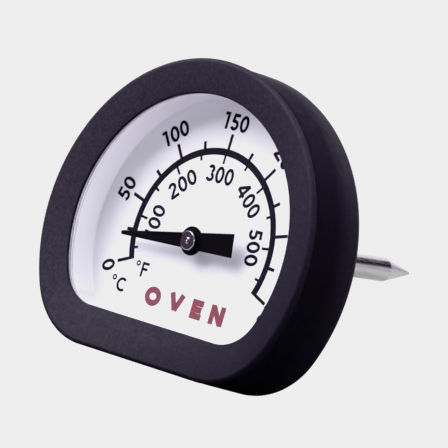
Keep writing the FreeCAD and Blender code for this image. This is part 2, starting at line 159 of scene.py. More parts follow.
def rounded_loops(stations, steps=6):
    """Loops of points through stations (loop, radius), each rounded with an arc where it turns."""
    loops = []
    for index, (here, radius) in enumerate(stations):
        if radius == 0:
            loops.append(here)
            continue
        back = stations[index - 1][0] - here
        ahead = stations[index + 1][0] - here
        back = back / np.linalg.norm(back, axis=1)[:, None]
        ahead = ahead / np.linalg.norm(ahead, axis=1)[:, None]
        half = np.arccos(np.clip((back * ahead).sum(1), -1, 1))[:, None] / 2
        middle = back + ahead
        reach = np.linalg.norm(middle, axis=1)[:, None]
        straight = reach < 1e-6
        centre = here + middle / np.where(straight, 1, reach) * radius / np.sin(half)
        start = here + back * radius / np.tan(half) - centre
        end = here + ahead * radius / np.tan(half) - centre
        sweep = np.where(straight, 1, math.pi - 2 * half)
        for step in range(steps + 1):
            share = step / steps
            arm = start * np.sin((1 - share) * sweep) + end * np.sin(share * sweep)
            loops.append(np.where(straight, here, centre + arm / np.sin(sweep)))
    return loops


# --------------------------------------------------------- D-shaped outlines

Outline = namedtuple("Outline", "radius centre_z bottom_z corner_radius")
BASE_Z = -DIAL_CENTRE.z / MM
COVER = Outline(32.3, -0.9, BASE_Z, 14.8)
SHOULDER = Outline(31.85, -0.6, BASE_Z, 15.1)
LIP_EDGE = Outline(32.0, -0.45, BASE_Z, 15.2)
LIP_CREST = Outline(31.65, -0.1, BASE_Z, 15.5)
WINDOW = Outline(25.7, -0.3, -16.1, 8.4)
ARC_STEPS, CORNER_STEPS, FLAT_STEPS = 176, 30, 24


def d_loop(outline, inset=0.0):
    """Points of a D outline moved inwards by inset, as (x, z) from the dial's centre."""
    radius = outline.radius - inset
    corner_radius = outline.corner_radius - inset
    corner_z = outline.bottom_z + outline.corner_radius
    drop = outline.centre_z - corner_z
    corner_x = math.sqrt((outline.radius - outline.corner_radius) ** 2 - drop ** 2)
    dip = math.atan2(drop, corner_x)
    points = []

    def arc(centre_x, centre_z, reach, start, end, steps):
        for step in range(steps):
            angle = start + (end - start) * step / steps
            points.append((centre_x + reach * math.cos(angle), centre_z + reach * math.sin(angle)))

    arc(0, outline.centre_z, radius, -dip, math.pi + dip, ARC_STEPS)
    arc(-corner_x, corner_z, corner_radius, math.pi + dip, 1.5 * math.pi, CORNER_STEPS)
    for step in range(FLAT_STEPS):
        points.append((corner_x * (2 * step / FLAT_STEPS - 1), outline.bottom_z + inset))
    arc(corner_x, corner_z, corner_radius, 1.5 * math.pi, 2 * math.pi - dip, CORNER_STEPS)
    return np.array(points)


def circle_loop(radius, centre_z):
    """A circle with as many points as a D outline, starting at the same side."""
    like = d_loop(COVER)
    angles = np.arctan2(like[:, 1] - COVER.centre_z, like[:, 0])
    return np.stack([radius * np.cos(angles), centre_z + radius * np.sin(angles)], 1)


def at_y(loop, y):
    """A loop of (x, z) set in the plane at y."""
    return np.stack([loop[:, 0], np.full(len(loop), y), loop[:, 1]], 1)


# ------------------------------------------------------------ node materials

def shader(name):
    """A new node material, its tree and its Principled node."""
    material = bpy.data.materials.new(name)
    material.use_nodes = True
    tree = material.node_tree
    return material, tree, tree.nodes["Principled BSDF"]


def add(tree, kind, properties=None, **inputs):
    """A node of that kind; an input is a value or another node's output."""
    made = tree.nodes.new("ShaderNode" + kind)
    for key, value in (properties or {}).items():
        setattr(made, key, value)
    for key, value in inputs.items():
        connect(tree, made.inputs[key.replace("_", " ")], value)
    return made


def connect(tree, socket, value):
    """Give a socket a value, or link another node's output to it."""
    if isinstance(value, bpy.types.NodeSocket):
        tree.links.new(value, socket)
    else:
        socket.default_value = value


def place(tree):
    """Object coordinates."""
    return add(tree, "TexCoord").outputs["Object"]


def place_from_centre(tree):
    """Object coordinates counted from the dial's centre."""
    node = add(tree, "VectorMath", {"operation": "SUBTRACT"}, Vector=place(tree))
    node.inputs[1].default_value = DIAL_CENTRE
    return node.outputs[0]


def dot(tree, vector, direction):
    """How far a vector reaches along a direction."""
    node = add(tree, "VectorMath", {"operation": "DOT_PRODUCT"}, Vector=vector)
    node.inputs[1].default_value = direction
    return node.outputs["Value"]


def length(tree, vector):
    """The length of a vector."""
    return add(tree, "VectorMath", {"operation": "LENGTH"}, Vector=vector).outputs["Value"]


def noise(tree, size_mm, detail=3.0, stretch=(1, 1, 1)):
    """Noise whose lumps are about size_mm across, longer where stretch is small."""
    stretched = add(tree, "Mapping", Vector=place(tree), Scale=stretch).outputs[0]
    node = add(
        tree, "TexNoise", Vector=stretched, Scale=1 / (size_mm * MM),
        Detail=detail, Roughness=0.5,
    )
    return node.outputs["Fac"]


def ramp(tree, value, low, high, out_low, out_high):
    """value from low..high mapped to out_low..out_high, held at the ends."""
    node = add(tree, "MapRange")
    for socket, number in zip(node.inputs, (value, low, high, out_low, out_high)):
        connect(tree, socket, number)
    return node.outputs[0]


def maths(tree, operation, first, second):
    """Two values put through a Math node."""
    node = add(tree, "Math", {"operation": operation})
    connect(tree, node.inputs[0], first)
    connect(tree, node.inputs[1], second)
    return node.outputs[0]


def colours(tree, share, first, second):
    """A blend of two colours, each three numbers or another node's output."""
    node = add(tree, "Mix", {"data_type": "RGBA"})
    connect(tree, node.inputs[0], share)
    for socket, colour in ((node.inputs[6], first), (node.inputs[7], second)):
        linked = isinstance(colour, bpy.types.NodeSocket)
        connect(tree, socket, colour if linked else (*colour, 1))
    return node.outputs[2]


def bump(tree, height, depth_mm, strength=1.0):
    """A bump normal from a height of 0..1, depth_mm deep."""
    return add(tree, "Bump", Height=height, Distance=depth_mm * MM, Strength=strength).outputs[0]


def surface(bsdf, tree, **inputs):
    """Set the Principled node's inputs."""
    for key, value in inputs.items():
        connect(tree, bsdf.inputs[key.replace("_", " ")], value)


def mixed(tree, share, first, second):
    """Two nodes' shaders mixed: only the first at 0, only the second at 1."""
    node = add(tree, "MixShader", Fac=share)
    tree.links.new(first.outputs[0], node.inputs[1])
    tree.links.new(second.outputs[0], node.inputs[2])
    return node.outputs[0]


# Painted light: the cover's pale dust colour and its specular level are graded along this
# direction, lighter and shinier towards the upper left and darker towards the lower right.
PAINTED_LIGHT_DIRECTION = (-0.75, -0.10, 0.65)
PAINTED_LIGHT_FROM, PAINTED_LIGHT_FULL = -26.0 * MM, 8.0 * MM
PAINTED_LIGHT_AMOUNT = 0.070
DUST_AND_PAINTED_LIGHT_COLOUR = (0.100, 0.078, 0.120)
# Painted shade: a darker band round the front of the cover's side, where the pale dust and the
# specular level are cut down.
PAINTED_SHADE_FRONT_Y = (-6.9 * MM, -6.2 * MM)
PAINTED_SHADE_BACK_Y = (-1.5 * MM, 2.4 * MM)
PAINTED_SHADE_LEVEL = 0.38


def silicone_material():
    """Dark moulded silicone, faintly mottled and finely grained.

    A pale speckled dust lies on it. It is painted lighter towards the upper left as painted light
    and thins towards the lower right, and its specular level rises the same way as a painted
    sheen.
    A band round the front of the side is darkened as painted shade, with less dust and less
    specular there.
    """
    material, tree, bsdf = shader("silicone")
    mottle = noise(tree, 1.6, detail=4)
    grain = noise(tree, 0.28, detail=2)
    speck = noise(tree, 0.5, detail=1)
    tone = ramp(tree, mottle, 0.3, 0.7, 0.0, 1.0)
    base = colours(tree, tone, (0.0035, 0.0022, 0.0065), (0.0055, 0.0038, 0.0090))
    # Painted light and painted sheen: more pale colour and more specular towards the upper left.
    along = dot(tree, place(tree), PAINTED_LIGHT_DIRECTION)
    painted_light = ramp(tree, along, PAINTED_LIGHT_FROM, PAINTED_LIGHT_FULL, 0.0, PAINTED_LIGHT_AMOUNT)
    painted_sheen = ramp(tree, along, PAINTED_LIGHT_FROM, PAINTED_LIGHT_FULL, 0.10, 0.26)
    dust = ramp(tree, speck, 0.35, 0.75, 0.55, 1.75)
    depth = add(tree, "SeparateXYZ", Vector=place(tree)).outputs["Y"]
    # Painted shade: the band on the front of the side, full strength outside it.
    painted_shade_front_edge = ramp(tree, depth, *PAINTED_SHADE_FRONT_Y, 1.0, PAINTED_SHADE_LEVEL)
    painted_shade_back_edge = ramp(tree, depth, *PAINTED_SHADE_BACK_Y, PAINTED_SHADE_LEVEL, 1.0)
    painted_shade_factor = maths(tree, "MAXIMUM", painted_shade_front_edge, painted_shade_back_edge)
    share = maths(tree, "MULTIPLY", maths(tree, "MULTIPLY", painted_light, dust), painted_shade_factor)
    surface(
        bsdf, tree,
        Base_Color=colours(tree, share, base, DUST_AND_PAINTED_LIGHT_COLOUR),
        Roughness=ramp(tree, mottle, 0.3, 0.7, 0.64, 0.76),
        Normal=bump(tree, grain, 0.03, 0.5),
        Specular_IOR_Level=maths(tree, "MULTIPLY", painted_sheen, painted_shade_factor),
    )
    return material


# Painted light: from this radius outwards the upright rim round the dial gets a paler colour than
# the dial's floor.
LIT_RIM_FROM, LIT_RIM_FULL = 25.7 * MM, 26.0 * MM


def enamel_material():
    """White satin enamel with barely visible unevenness; its upright rim round the dial is painted
    paler as painted light, and is rougher there.
    """
    material, tree, bsdf = shader("dial_enamel")
    cloud = ramp(tree, noise(tree, 7.0), 0.3, 0.7, 0.0, 1.0)
    flat = colours(tree, cloud, (0.765, 0.765, 0.770), (0.775, 0.775, 0.780))
    across = add(tree, "VectorMath", {"operation": "MULTIPLY"}, Vector=place_from_centre(tree))
    across.inputs[1].default_value = (1, 0, 1)
    # Painted light on the upright rim round the dial.
    painted_light_rim = ramp(tree, length(tree, across.outputs[0]), LIT_RIM_FROM, LIT_RIM_FULL, 0.0, 1.0)
    surface(
        bsdf, tree,
        Base_Color=colours(tree, painted_light_rim, flat, (0.96, 0.96, 0.965)),
        Roughness=ramp(tree, painted_light_rim, 0.0, 1.0, 0.30, 0.55),
        Specular_IOR_Level=0.8,
    )
    return material


def ink_material(name, first, second):
    """Printed ink: slightly uneven colour with a dry, matte surface."""
    material, tree, bsdf = shader(name)
    cover = ramp(tree, noise(tree, 0.35, detail=4), 0.35, 0.7, 0.0, 1.0)
    surface(
        bsdf, tree,
        Base_Color=colours(tree, cover, first, second),
        Roughness=ramp(tree, noise(tree, 0.5), 0.3, 0.7, 0.5, 0.7),
        Specular_IOR_Level=0.12,
        Normal=bump(tree, noise(tree, 0.12), 0.004, 0.3),
    )
    return material


def black_paint_material():
    """Matte black paint of the pointer, with a few paler rubs."""
    material, tree, bsdf = shader("pointer_black")
    rub = ramp(tree, noise(tree, 0.6, detail=5), 0.6, 0.8, 0.0, 1.0)
    surface(
        bsdf, tree,
        Base_Color=colours(tree, rub, (0.0022, 0.0016, 0.0034), (0.008, 0.0065, 0.010)),
        Roughness=ramp(tree, rub, 0.0, 1.0, 0.55, 0.42),
        Specular_IOR_Level=0.12,
        Normal=bump(tree, noise(tree, 0.1), 0.006, 0.4),
    )
    return material


RING_SPACING = 0.3


def turned_face_material():
    """Blackened metal with fine rings left by the lathe."""
    material, tree, bsdf = shader("boss_face")
    reach = length(tree, place_from_centre(tree))
    rings = add(
        tree, "TexWave", {"wave_type": "BANDS", "bands_direction": "X"},
        Vector=add(tree, "CombineXYZ", X=reach).outputs[0],
        Scale=0.16 / (RING_SPACING * MM), Distortion=0.4, Detail=2.0,
    ).outputs["Fac"]
    surface(
        bsdf, tree,
        Base_Color=colours(tree, rings, (0.018, 0.012, 0.020), (0.085, 0.062, 0.090)),
        Metallic=1.0,
        Roughness=0.5,
        Normal=bump(tree, rings, 0.01, 0.6),
    )
    return material


def metal_material(name, dark, light, roughness=0.3, stretch=(1, 1, 1), size_mm=0.25, streak=0.4):
    """Worked metal: streaks along the direction in which stretch is small."""
    material, tree, bsdf = shader(name)
    lines = noise(tree, size_mm, detail=3, stretch=stretch)
    patches = noise(tree, 3.5, detail=2)
    tone = ramp(tree, lines, 0.3, 0.7, 0.0, 1.0)
    surface(
        bsdf, tree,
        Base_Color=colours(tree, tone, dark, light),
        Metallic=1.0,
        Roughness=ramp(tree, patches, 0.3, 0.7, roughness * 0.85, roughness * 1.2),
        Normal=bump(tree, lines, 0.006, streak),
    )
    return material


def soft_seal_material(name, dark, light):
    """Plain soft seal material with a matte grain."""
    material, tree, bsdf = shader(name)
    tone = ramp(tree, noise(tree, 0.8), 0.3, 0.7, 0.0, 1.0)
    surface(
        bsdf, tree,
        Base_Color=colours(tree, tone, dark, light),
        Roughness=0.6,
        Normal=bump(tree, noise(tree, 0.2), 0.01, 0.4),
    )
    return material


PANE_IOR = 1.5


def glass_material():
    """Clear flat glass: it mirrors a little where light enters it, and lets the rest by."""
    material, tree, bsdf = shader("lens_glass")
    tree.nodes.remove(bsdf)
    smear = ramp(tree, noise(tree, 9.0, detail=4), 0.35, 0.75, 0.01, 0.03)
    cloud = ramp(tree, noise(tree, 14.0), 0.3, 0.7, 0.0, 1.0)
    tint = colours(tree, cloud, (0.985, 0.985, 0.985), (0.99, 0.99, 0.99))
    clear = add(tree, "BsdfTransparent", Color=tint)
    mirror = add(tree, "BsdfGlossy", Color=(1, 1, 1, 1), Roughness=smear)
    backfacing = add(tree, "NewGeometry").outputs["Backfacing"]
    entering = maths(tree, "SUBTRACT", 1.0, backfacing)
    share = maths(tree, "MULTIPLY", add(tree, "Fresnel", IOR=PANE_IOR).outputs[0], entering)
    pane = mixed(tree, share, clear, mirror)
    tree.links.new(pane, tree.nodes["Material Output"].inputs["Surface"])
    return material


# ------------------------------------------------------------ silicone cover

LIP_CREST_Y = CAD_BOX[0].y / MM
COVER_BACK_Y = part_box("silicone_cover")[1].y / MM
LIP_EDGE_Y = -7.2
GROOVE_DEPTH = 0.55
GROOVE_Y = -6.55
SHOULDER_Y = -5.6
COVER_WIDEST_Y = 1.0
WINDOW_EDGE_Y = -6.85
LIP_BACK_Y = -6.3
WINDOW_BACK_ROUND = 0.08
WINDOW_ROUND = 0.25
CREST_ROUND = 0.7
EDGE_ROUND = 0.5
GROOVE_ROUND = 0.6
SHOULDER_ROUND = 1.5
SIDE_ROUND = 25
BACK_ROUND = 3.5
BACK_FLAT_INSET = 5.0
HOLE_RADIUS = 8.8
HOLE_CHAMFER = 0.3
CAVITY_FLOOR_INSET = 2
CAVITY_ROUND = 1.0
CASE_INSET = 3.38
RING_INSET = 3.01
CAVITY_BACK_Y = 4.82
RING_SPACE_Y = -3.11


def silicone_skin():
    """The cover as one closed skin: soft lip, fine groove, swelling side, rounded back."""
    groove = d_loop(LIP_EDGE, GROOVE_DEPTH)
    outside = [
        (at_y(d_loop(COVER, RING_INSET), LIP_BACK_Y), 0),
        (at_y(d_loop(WINDOW), LIP_BACK_Y), WINDOW_BACK_ROUND),
        (at_y(d_loop(WINDOW), WINDOW_EDGE_Y), WINDOW_ROUND),
        (at_y(d_loop(LIP_CREST), LIP_CREST_Y), CREST_ROUND),
        (at_y(d_loop(LIP_EDGE), LIP_EDGE_Y), EDGE_ROUND),
        (at_y(groove, GROOVE_Y), GROOVE_ROUND),
        (at_y(d_loop(SHOULDER), SHOULDER_Y), SHOULDER_ROUND),
        (at_y(d_loop(COVER), COVER_WIDEST_Y), SIDE_ROUND),
        (at_y(d_loop(COVER), COVER_BACK_Y), BACK_ROUND),
        (at_y(d_loop(COVER, BACK_FLAT_INSET), COVER_BACK_Y), 0),
    ]
    loops = rounded_loops(outside, steps=8)

    def hole(radius, y):
        return at_y(circle_loop(radius, y * AXIS.z / AXIS.y), y)

    back_flat = outside[-1][0]
    hole_rim = hole(HOLE_RADIUS + HOLE_CHAMFER, COVER_BACK_Y)
    for share in (0.35, 0.7, 1.0):
        loops.append(back_flat * (1 - share) + hole_rim * share)
    loops.append(hole(HOLE_RADIUS, COVER_BACK_Y - HOLE_CHAMFER))
    loops.append(hole(HOLE_RADIUS, CAVITY_BACK_Y))
    loops += rounded_loops([
        (at_y(d_loop(COVER, CASE_INSET + CAVITY_FLOOR_INSET), CAVITY_BACK_Y), 0),
        (at_y(d_loop(COVER, CASE_INSET), CAVITY_BACK_Y), CAVITY_ROUND),
        (at_y(d_loop(COVER, CASE_INSET), RING_SPACE_Y), 0),
        (at_y(d_loop(COVER, RING_INSET), RING_SPACE_Y), 0),
    ], steps=4)
    placed = [[DIAL_CENTRE + Vector(point) * MM for point in loop] for loop in loops]
    return bridged("silicone_cover_skin", placed, smooth_angle_deg=50, flip=True)


# ------------------------------------------------------------- dial printing

INK_BACK_Y = 0.01
INK_THICKNESS = 0.015
INK_LAYER, INK_LAYERS = 0.002, 6
SCALE_INNER, SCALE_OUTER = 15.8, 17.07
SCALE_END_DEG = FULL_TURN_DEG / 2
CELSIUS_SPAN = 300.0
DEG_PER_CELSIUS = FULL_TURN_DEG / CELSIUS_SPAN
CELSIUS_LONG_TICK, CELSIUS_SHORT_TICK, CELSIUS_TICK_WIDTH = 19.8, 18.4, 0.62
FAHRENHEIT_LONG_TICK, FAHRENHEIT_SHORT_TICK, FAHRENHEIT_TICK_WIDTH = 14.3, 15.0, 0.48
CELSIUS_NUMBER_RADIUS, FAHRENHEIT_NUMBER_RADIUS = 22.0, 12.3
CELSIUS_TICKS, CELSIUS_NUMBERS = range(0, 301, 25), range(0, 301, 50)
FAHRENHEIT_TICKS, FAHRENHEIT_NUMBERS = range(50, 551, 50), range(100, 501, 100)
SHIFTED_NUMBERS = {200: (22.4, 1.4), 300: (21.6, 0.0)}  # Celsius: radius, degrees further on
NUMBER_HEIGHT, NUMBER_STROKE = 3.1, 0.60
SCALE_STEPS = 150
DEGREE_SIGN_RADIUS, DEGREE_SIGN_STROKE = 0.38, 0.3
UNIT_STROKE = 0.5
WORD_HEIGHT, WORD_STROKE, WORD_GAP = 3.5, 1.12, 0.55
WORD_CENTRE = (0.35, -11.55)


class Print:
    """Printed strokes on the dial's face, gathered into one mesh.

    Each stroke stands a little prouder than the last, so that crossing strokes don't share
    a face.
    """

    def __init__(self):
        self.vertices = []
        self.faces = []
        self.layers = 0

    def prism(self, left, right, closed):
        """A thin closed solid between two edges of equal length."""
        lift = INK_THICKNESS + INK_LAYER * (self.layers % INK_LAYERS)
        self.layers += 1
        start = len(self.vertices)
        count = len(left)
        for y in (-lift, INK_BACK_Y):
            for edge in (left, right):
                self.vertices += [DIAL_CENTRE + Vector((x, y, z)) * MM for x, z in edge]
        corners = [start, start + count, start + 3 * count, start + 2 * count]
        spans = count if closed else count - 1
        for side in range(4):
            one, two = corners[side], corners[(side + 1) % 4]
            for step in range(spans):
                beside = (step + 1) % count
                self.faces.append((one + step, two + step, two + beside, one + beside))
        if not closed:
            self.faces.append(tuple(reversed(corners)))
            self.faces.append(tuple(c + count - 1 for c in corners))

    def stroke(self, points, width, closed=False):
        """A stroke of even width along points (x, z)."""
        points = np.array(points, float)
        if closed:
            ahead = np.roll(points, -1, 0) - points
            back = points - np.roll(points, 1, 0)
        else:
            steps = np.diff(points, axis=0)
            ahead = np.vstack([steps, steps[-1:]])
            back = np.vstack([steps[:1], steps])
        ahead /= np.linalg.norm(ahead, axis=1)[:, None]
        back /= np.linalg.norm(back, axis=1)[:, None]
        along = ahead + back
        along /= np.linalg.norm(along, axis=1)[:, None]
        normal = np.stack([-along[:, 1], along[:, 0]], 1)
        spread = width / 2 / np.clip((along * ahead).sum(1), 0.5, 1)[:, None]
        self.prism(points + normal * spread, points - normal * spread, closed)

    def glyphs(self, text, height, width, centre, turn_deg, gap=0.07):
        """Text of simple strokes, centred on a point and turned clockwise."""
        weight = width / height
        total = sum(GLYPHS[c](weight)[0] for c in text) + gap * (len(text) - 1)
        turn = math.radians(turn_deg)
        cursor = -total / 2
        for letter in text:
            advance, strokes = GLYPHS[letter](weight)
            for points, closed in strokes:
                local = (np.array(points) + (cursor, -0.5)) * height
                x = local[:, 0] * math.cos(turn) + local[:, 1] * math.sin(turn)
                z = -local[:, 0] * math.sin(turn) + local[:, 1] * math.cos(turn)
                self.stroke(np.stack([x + centre[0], z + centre[1]], 1), width, closed)
            cursor += advance + gap

    def piece(self, name, material):
        """The finished print, riding on the head."""
        made = mesh_object(name, self.vertices, self.faces, smooth_angle_deg=30)
        made.data.materials.append(material)
        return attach(made, HEAD)


def curve(centre_x, centre_z, radius_x, radius_z, start_deg, end_deg, steps=28):
    """Points along an arc of an ellipse."""
    points = []
    for step in range(steps + 1):
        angle = math.radians(start_deg + (end_deg - start_deg) * step / steps)
        x, z = radius_x * math.cos(angle), radius_z * math.sin(angle)
        points.append((centre_x + x, centre_z + z))
    return points


def line(*points):
    """An open stroke."""
    return list(points), False


# Each glyph takes its stroke's width w, and gives its advance and its strokes as pairs of
# points and whether they close. Everything is in shares of the glyph's height.

def digit_zero(w):
    oval = curve(0.335, 0.5, 0.335 - w / 2, 0.5 - w / 2, 0, 360, 48)[:-1]
    return 0.67, [(oval, True)]


def digit_one(w):
    return 0.52, [
        line((0.31, 0), (0.31, 1)),
        line((0.03, 0.86), (0.31 - w / 2, 0.93)),
    ]


def digit_two(w):
    bowl = curve(0.31, 0.70, 0.30 - w / 2, 0.30 - w / 2, 172, -38)
    return 0.66, [
        (bowl + [(0.10, w * 0.9)], False),
        line((0.0, w / 2), (0.64, w / 2)),
    ]


def digit_three(w):
    upper = curve(0.30, 0.745, 0.26 - w / 2, 0.255 - w / 2, 165, -82)
    lower = curve(0.30, 0.285, 0.31 - w / 2, 0.285 - w / 2, 82, -165)
    return 0.62, [(upper, False), (lower, False)]


def digit_four(w):
    return 0.73, [
        line((0.04, 0.27), (0.50, 0.97)),
        line((0.0, 0.26), (0.71, 0.26)),
        line((0.51, 0.0), (0.51, 1.0)),
    ]


def digit_five(w):
    bowl = curve(0.30, 0.32, 0.32 - w / 2, 0.32 - w / 2, 128, -152)
    return 0.64, [
        (bowl, False),
        line((0.155, 0.46), (0.215, 1.0)),
        line((0.19, 1 - w / 2), (0.60, 1 - w / 2)),
    ]


def letter_c(w):
    return 0.86, [(curve(0.5, 0.5, 0.5 - w / 2, 0.5 - w / 2, 48, 312, 36), False)]


def letter_f(w):
    return 0.62, [
        line((w / 2, 0), (w / 2, 1)),
        line((w, 1 - w / 2), (0.62, 1 - w / 2)),
        line((w, 0.53), (0.55, 0.53)),
    ]


def letter_e(w):
    return 0.78, [
        line((w / 2, 0), (w / 2, 1)),
        line((w, 1 - w / 2), (0.78, 1 - w / 2)),
        line((w, 0.5), (0.72, 0.5)),
        line((w, w / 2), (0.78, w / 2)),
    ]


def letter_o(w):
    oval = curve(0.56, 0.5, 0.56 - w / 2, 0.5 - w / 2, 0, 360, 56)[:-1]
    return 1.12, [(oval, True)]


def letter_v(w):
    return 1.1, [
        line((w * 0.5, 1), (0.55, w * 0.4)),
        line((1.1 - w * 0.5, 1), (0.55, w * 0.4)),
    ]


def letter_n(w):
    return 0.98, [
        line((w / 2, 0), (w / 2, 1)),
        line((w * 0.55, 1 - w * 0.2), (0.98 - w * 0.55, w * 0.2)),
        line((0.98 - w / 2, 0), (0.98 - w / 2, 1)),
    ]


GLYPHS = {
    "0": digit_zero, "1": digit_one, "2": digit_two, "3": digit_three, "4": digit_four,
    "5": digit_five, "C": letter_c, "F": letter_f, "E": letter_e, "O": letter_o,
    "V": letter_v, "N": letter_n,
}


def scale_angle(celsius):
    """Degrees clockwise from straight up at which the dial shows a temperature."""
    return celsius * DEG_PER_CELSIUS - SCALE_END_DEG


def from_fahrenheit(fahrenheit):
    """The same temperature in degrees Celsius."""
    return (fahrenheit - 32) / 1.8


def on_dial(radius, angle_deg):
    """A point of the dial, as (x, z), at an angle clockwise from straight up."""
    angle = math.radians(angle_deg)
    return radius * math.sin(angle), radius * math.cos(angle)


def tick(printed, celsius, inner, outer, width):
    """A radial tick, kept inside the ends of the scale."""
    middle = (inner + outer) / 2
    margin = math.degrees(width / 2 / middle)
    limit = SCALE_END_DEG - margin
    angle = min(max(scale_angle(celsius), -limit), limit)
    printed.stroke([on_dial(inner, angle), on_dial(outer, angle)], width)


def print_scale(black):
    """The thick arc and its ticks: Celsius outside, Fahrenheit inside."""
    printed = Print()
    angles = [SCALE_END_DEG * (2 * step / SCALE_STEPS - 1) for step in range(SCALE_STEPS + 1)]
    outer_edge = [on_dial(SCALE_OUTER, angle) for angle in angles]
    inner_edge = [on_dial(SCALE_INNER, angle) for angle in angles]
    printed.prism(outer_edge, inner_edge, closed=False)
    for celsius in CELSIUS_TICKS:
        reach = CELSIUS_LONG_TICK if celsius in CELSIUS_NUMBERS else CELSIUS_SHORT_TICK
        tick(printed, celsius, SCALE_OUTER, reach, CELSIUS_TICK_WIDTH)
    for fahrenheit in FAHRENHEIT_TICKS:
        numbered = fahrenheit in FAHRENHEIT_NUMBERS
        reach = FAHRENHEIT_LONG_TICK if numbered else FAHRENHEIT_SHORT_TICK
        tick(printed, from_fahrenheit(fahrenheit), SCALE_INNER, reach, FAHRENHEIT_TICK_WIDTH)
    return printed.piece("print_scale", black)


def print_numbers(black):
    """The numbers of both scales, each set square to its radius."""
    printed = Print()
    for celsius in CELSIUS_NUMBERS:
        angle = scale_angle(celsius)
        radius, shift = SHIFTED_NUMBERS.get(celsius, (CELSIUS_NUMBER_RADIUS, 0.0))
        centre = on_dial(radius, angle + shift)
        printed.glyphs(str(celsius), NUMBER_HEIGHT, NUMBER_STROKE, centre, angle)
    for fahrenheit in FAHRENHEIT_NUMBERS:
        angle = scale_angle(from_fahrenheit(fahrenheit))
        centre = on_dial(FAHRENHEIT_NUMBER_RADIUS, angle)
        printed.glyphs(str(fahrenheit), NUMBER_HEIGHT, NUMBER_STROKE, centre, angle)
    return printed.piece("print_numbers", black)


def degree_sign(printed, x, z):
    """A small ring round a point of the dial."""
    ring = curve(x, z, DEGREE_SIGN_RADIUS, DEGREE_SIGN_RADIUS, 0, 360, 24)[:-1]
    printed.stroke(ring, DEGREE_SIGN_STROKE, closed=True)


def print_units(black):
    """The degree signs and unit letters at the low end of the scales."""
    printed = Print()
    degree_sign(printed, -13.2, -6.6)
    printed.glyphs("F", 2.75, UNIT_STROKE, (-11.3, -7.5), 0)
    degree_sign(printed, -17.9, -10.2)
    printed.glyphs("C", 2.6, UNIT_STROKE, (-15.9, -11.15), 0)
    return printed.piece("print_units", black)


def print_word(red):
    """The plain word OVEN under the pointer."""
    printed = Print()
    printed.glyphs("OVEN", WORD_HEIGHT, WORD_STROKE, WORD_CENTRE, 0, gap=WORD_GAP)
    return printed.piece("print_word", red)


# ------------------------------------------------------- pointer and spindle

POINTER_FRONT_S = -2.7
POINTER_SHEET, POINTER_EDGE = 0.3, 0.05
TIP_REACH, TIP_HALF_WIDTH = 17.3, 0.37
TAIL_REACH, TAIL_HALF_WIDTH = 9.9, 2.12
DISC_RADIUS = 2.58
SPINDLE_RADIUS = 0.6
SPINDLE_FRONT_S, SPINDLE_BACK_S = -3.85, 25.2
SPINDLE_CHAMFER = 0.18
HUB_PROFILE = (
    (-3.62, SPINDLE_RADIUS), (-3.66, SPINDLE_RADIUS + 0.06), (-3.66, 1.46), (-3.70, 1.50),
    (-3.70, 1.59), (-3.66, 1.65), (-3.58, 1.69), (-3.30, 1.69), (-3.26, 1.65), (-3.20, 1.69),
    (-2.80, 1.69), (-2.74, 1.76), (-2.70, 1.78), (-2.69, 1.1), (-2.4, 1.1), (-2.4, 1.64),
    (-2.34, 1.7), (-1.66, 1.7), (-1.6, 1.64), (-1.6, SPINDLE_RADIUS),
    (-3.62, SPINDLE_RADIUS),
)
HUB_FACE_S = -3.6
HUB_RUBBED_RADIUS = 1.52


def pointer_outline():
    """The wedge and its disc as one outline, as (along, across) from the hub."""
    def half_width(along):
        share = (TIP_REACH - along) / (TIP_REACH + TAIL_REACH)
        return TIP_HALF_WIDTH + (TAIL_HALF_WIDTH - TIP_HALF_WIDTH) * share

    def disc_angle(direction):
        """Where the wedge's edge leaves the disc, towards the tip (1) or the tail (-1)."""
        along = DISC_RADIUS * direction
        for _ in range(30):
            along = direction * math.sqrt(DISC_RADIUS ** 2 - half_width(along) ** 2)
        return math.degrees(math.atan2(half_width(along), along))

    tip_angle, tail_angle = disc_angle(1), disc_angle(-1)
    nose = curve(TIP_REACH - TIP_HALF_WIDTH, 0, TIP_HALF_WIDTH, TIP_HALF_WIDTH, -90, 90, 10)
    upper = curve(0, 0, DISC_RADIUS, DISC_RADIUS, tip_angle, tail_angle, 22)
    lower = curve(0, 0, DISC_RADIUS, DISC_RADIUS, -tail_angle, -tip_angle, 22)
    tail = [(-TAIL_REACH, TAIL_HALF_WIDTH), (-TAIL_REACH, -TAIL_HALF_WIDTH)]
    return nose + upper + tail + lower


def pointer_blade(black):
    """The flat pointer with its edges eased."""
    rest_angle = math.radians(-SCALE_END_DEG + REST_TURN_DEG)
    forwards = ACROSS * math.sin(rest_angle) + UPWARD * math.cos(rest_angle)
    sideways = AXIS.cross(forwards)
    outline = pointer_outline()
    vertices = []
    for s in (POINTER_FRONT_S, POINTER_FRONT_S + POINTER_SHEET):
        for along, across in outline:
            offset = AXIS * s + forwards * along + sideways * across
            vertices.append(DIAL_CENTRE + offset * MM)
    count = len(outline)
    front = tuple(range(count))
    back = tuple(range(2 * count - 1, count - 1, -1))
    sides = [(i, i + count, (i + 1) % count + count, (i + 1) % count) for i in range(count)]
    blade = mesh_object("pointer_blade", vertices, [front, back, *sides])
    edges = blade.modifiers.new("eased_edges", "BEVEL")
    edges.width = POINTER_EDGE * MM
    edges.segments = 2
    edges.limit_method = "ANGLE"
    blade.data.materials.append(black)
    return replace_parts(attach(blade, POINTER_BODY), "pointer")


def pointer_hub(black, face_black, bright):
    """The turned boss: black, with its front edge rubbed bright."""
    hub = turned("pointer_hub", HUB_PROFILE, segments=128)
    for material in (black, bright, face_black):
        hub.data.materials.append(material)
    for polygon in hub.data.polygons:
        centre = polygon.center - DIAL_CENTRE
        s = centre.dot(AXIS)
        radius = (centre - AXIS * s).length
        if s < HUB_FACE_S * MM:
            polygon.material_index = 1 if radius > HUB_RUBBED_RADIUS * MM else 2
    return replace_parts(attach(hub, POINTER_BODY), "pointer_boss")


